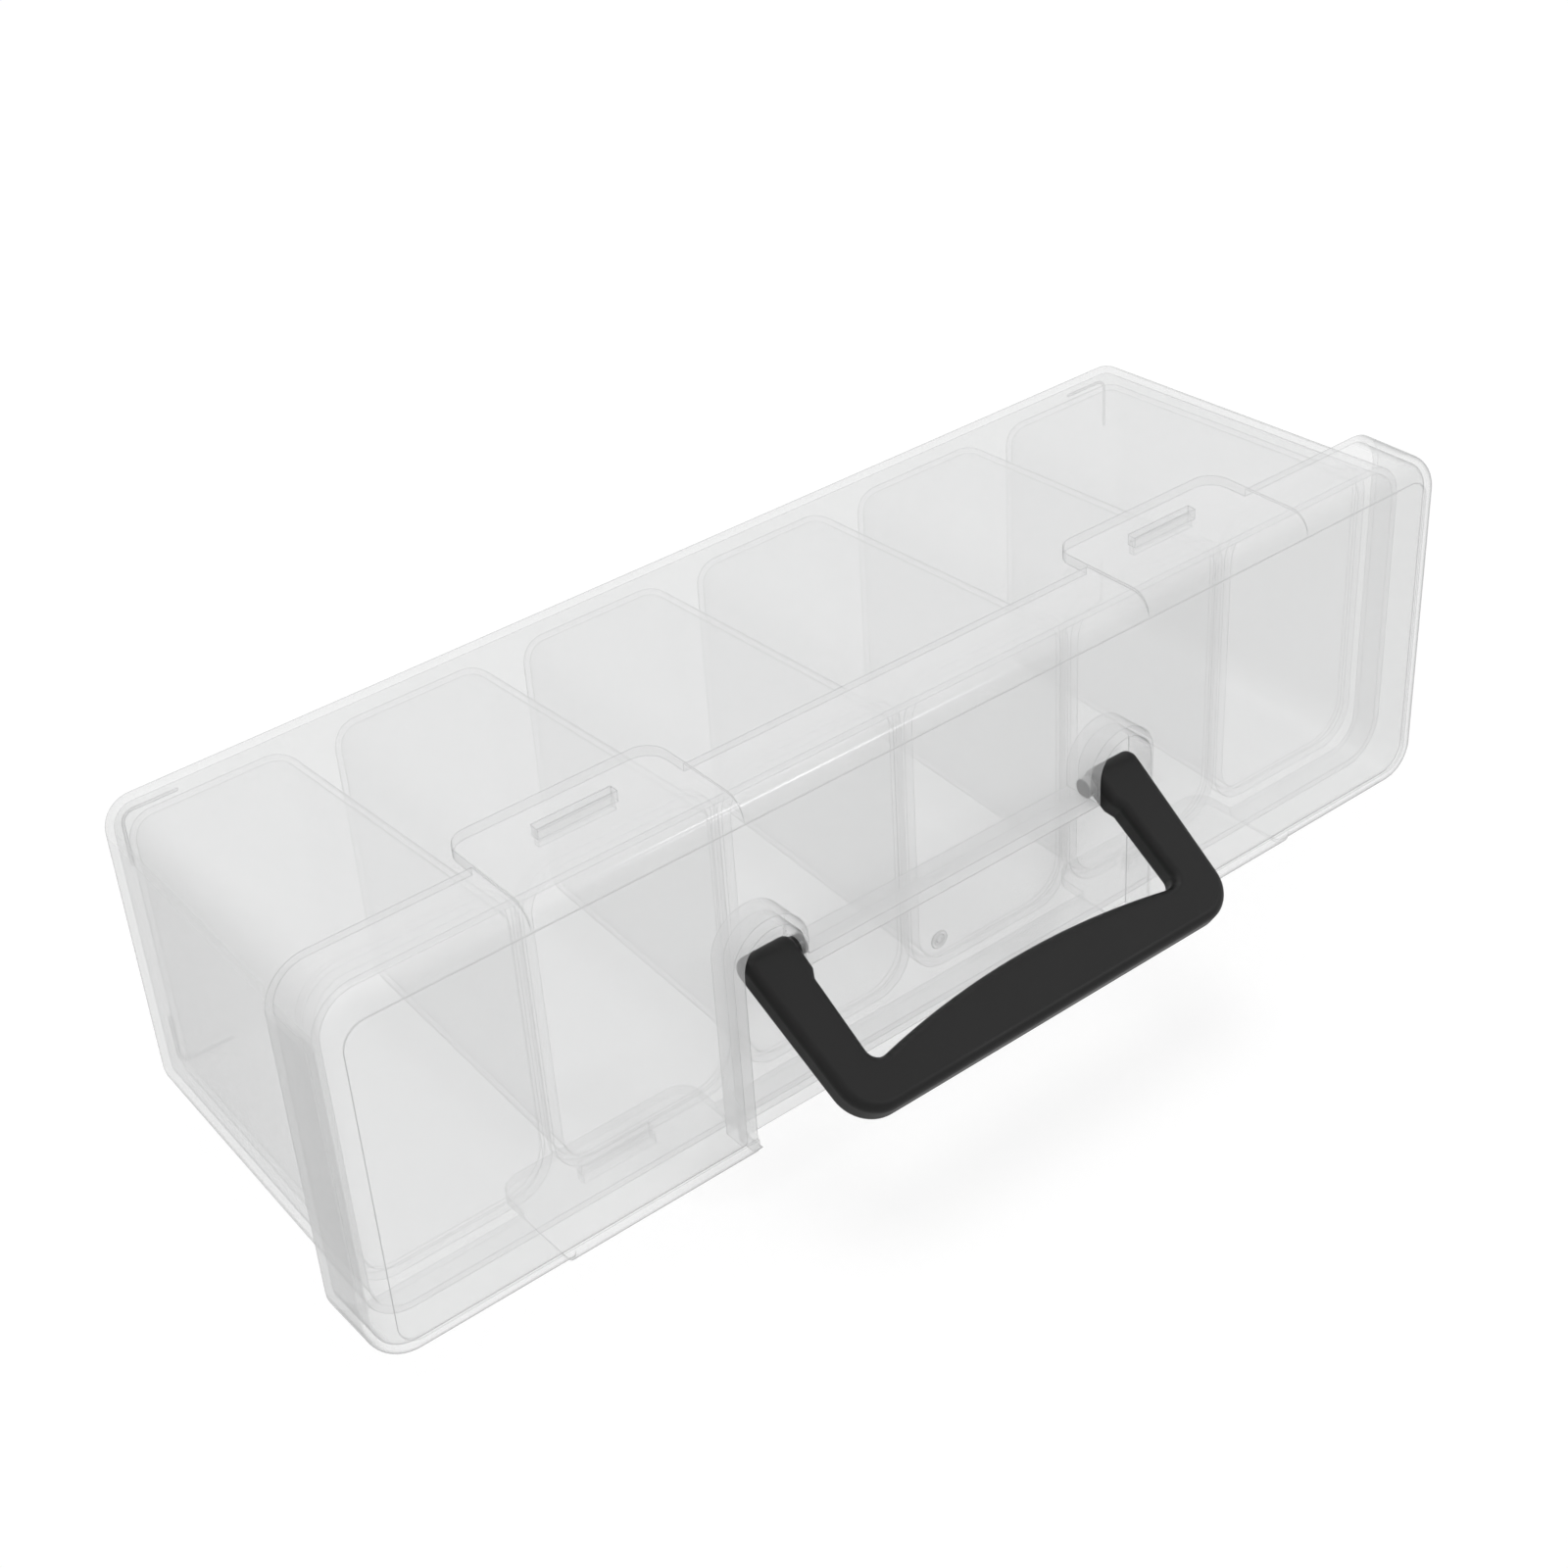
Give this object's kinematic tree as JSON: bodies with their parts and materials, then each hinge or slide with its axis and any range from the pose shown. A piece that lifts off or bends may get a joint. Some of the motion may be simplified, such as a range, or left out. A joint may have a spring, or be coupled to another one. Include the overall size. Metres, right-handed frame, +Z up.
{
  "type": "seed storage box",
  "caption": "Long translucent storage case with a press-on lid, a black swinging carry handle and open inner tubs side by side.",
  "frame": {"origin": "centre of the base's flat outer face", "axes": "+X along the case, +Z up as it lies on a long side, +Y out of the base, away from the lid"},
  "size_m": [0.336, 0.1459, 0.1016],
  "materials": {
    "clear_case": "translucent polypropylene, smooth",
    "clear_tub": "translucent polypropylene, smooth",
    "black_handle": "satin black moulded plastic"
  },
  "bodies": {
    "case": {"case_body": "clear_case"},
    "cap": {"lid": "clear_case"},
    "handle": {"carry_handle": "black_handle"},
    "tub_1": {"seed_tub_1": "clear_tub"},
    "tub_2": {"seed_tub_2": "clear_tub"},
    "tub_3": {"seed_tub_3": "clear_tub"},
    "tub_4": {"seed_tub_4": "clear_tub"},
    "tub_5": {"seed_tub_5": "clear_tub"},
    "tub_6": {"seed_tub_6": "clear_tub"}
  },
  "joints": [
    {"name": "lid_lift", "type": "slide", "parent": "case", "child": "cap", "axis": [0, -1, 0], "range_m": [0, 0.26]},
    {"name": "handle_swing", "type": "hinge", "parent": "cap", "child": "handle", "pos_m": [0, -0.1075, 0.001], "axis": [1, 0, 0], "range_deg": [-32, 58]},
    {"name": "tub_1_lift", "type": "slide", "parent": "case", "child": "tub_1", "axis": [0, -1, 0], "range_m": [0, 0.1]},
    {"name": "tub_2_lift", "type": "slide", "parent": "case", "child": "tub_2", "axis": [0, -1, 0], "range_m": [0, 0.1]},
    {"name": "tub_3_lift", "type": "slide", "parent": "case", "child": "tub_3", "axis": [0, -1, 0], "range_m": [0, 0.1]},
    {"name": "tub_4_lift", "type": "slide", "parent": "case", "child": "tub_4", "axis": [0, -1, 0], "range_m": [0, 0.1]},
    {"name": "tub_5_lift", "type": "slide", "parent": "case", "child": "tub_5", "axis": [0, -1, 0], "range_m": [0, 0.1]},
    {"name": "tub_6_lift", "type": "slide", "parent": "case", "child": "tub_6", "axis": [0, -1, 0], "range_m": [0, 0.1]}
  ],
  "couplings": [
    {"joint": "tub_1_lift", "follows": "lid_lift", "ratio": 0.38},
    {"joint": "tub_2_lift", "follows": "lid_lift", "ratio": 0.38},
    {"joint": "tub_3_lift", "follows": "lid_lift", "ratio": 0.38},
    {"joint": "tub_4_lift", "follows": "lid_lift", "ratio": 0.38},
    {"joint": "tub_5_lift", "follows": "lid_lift", "ratio": 0.38},
    {"joint": "tub_6_lift", "follows": "lid_lift", "ratio": 0.38}
  ]
}
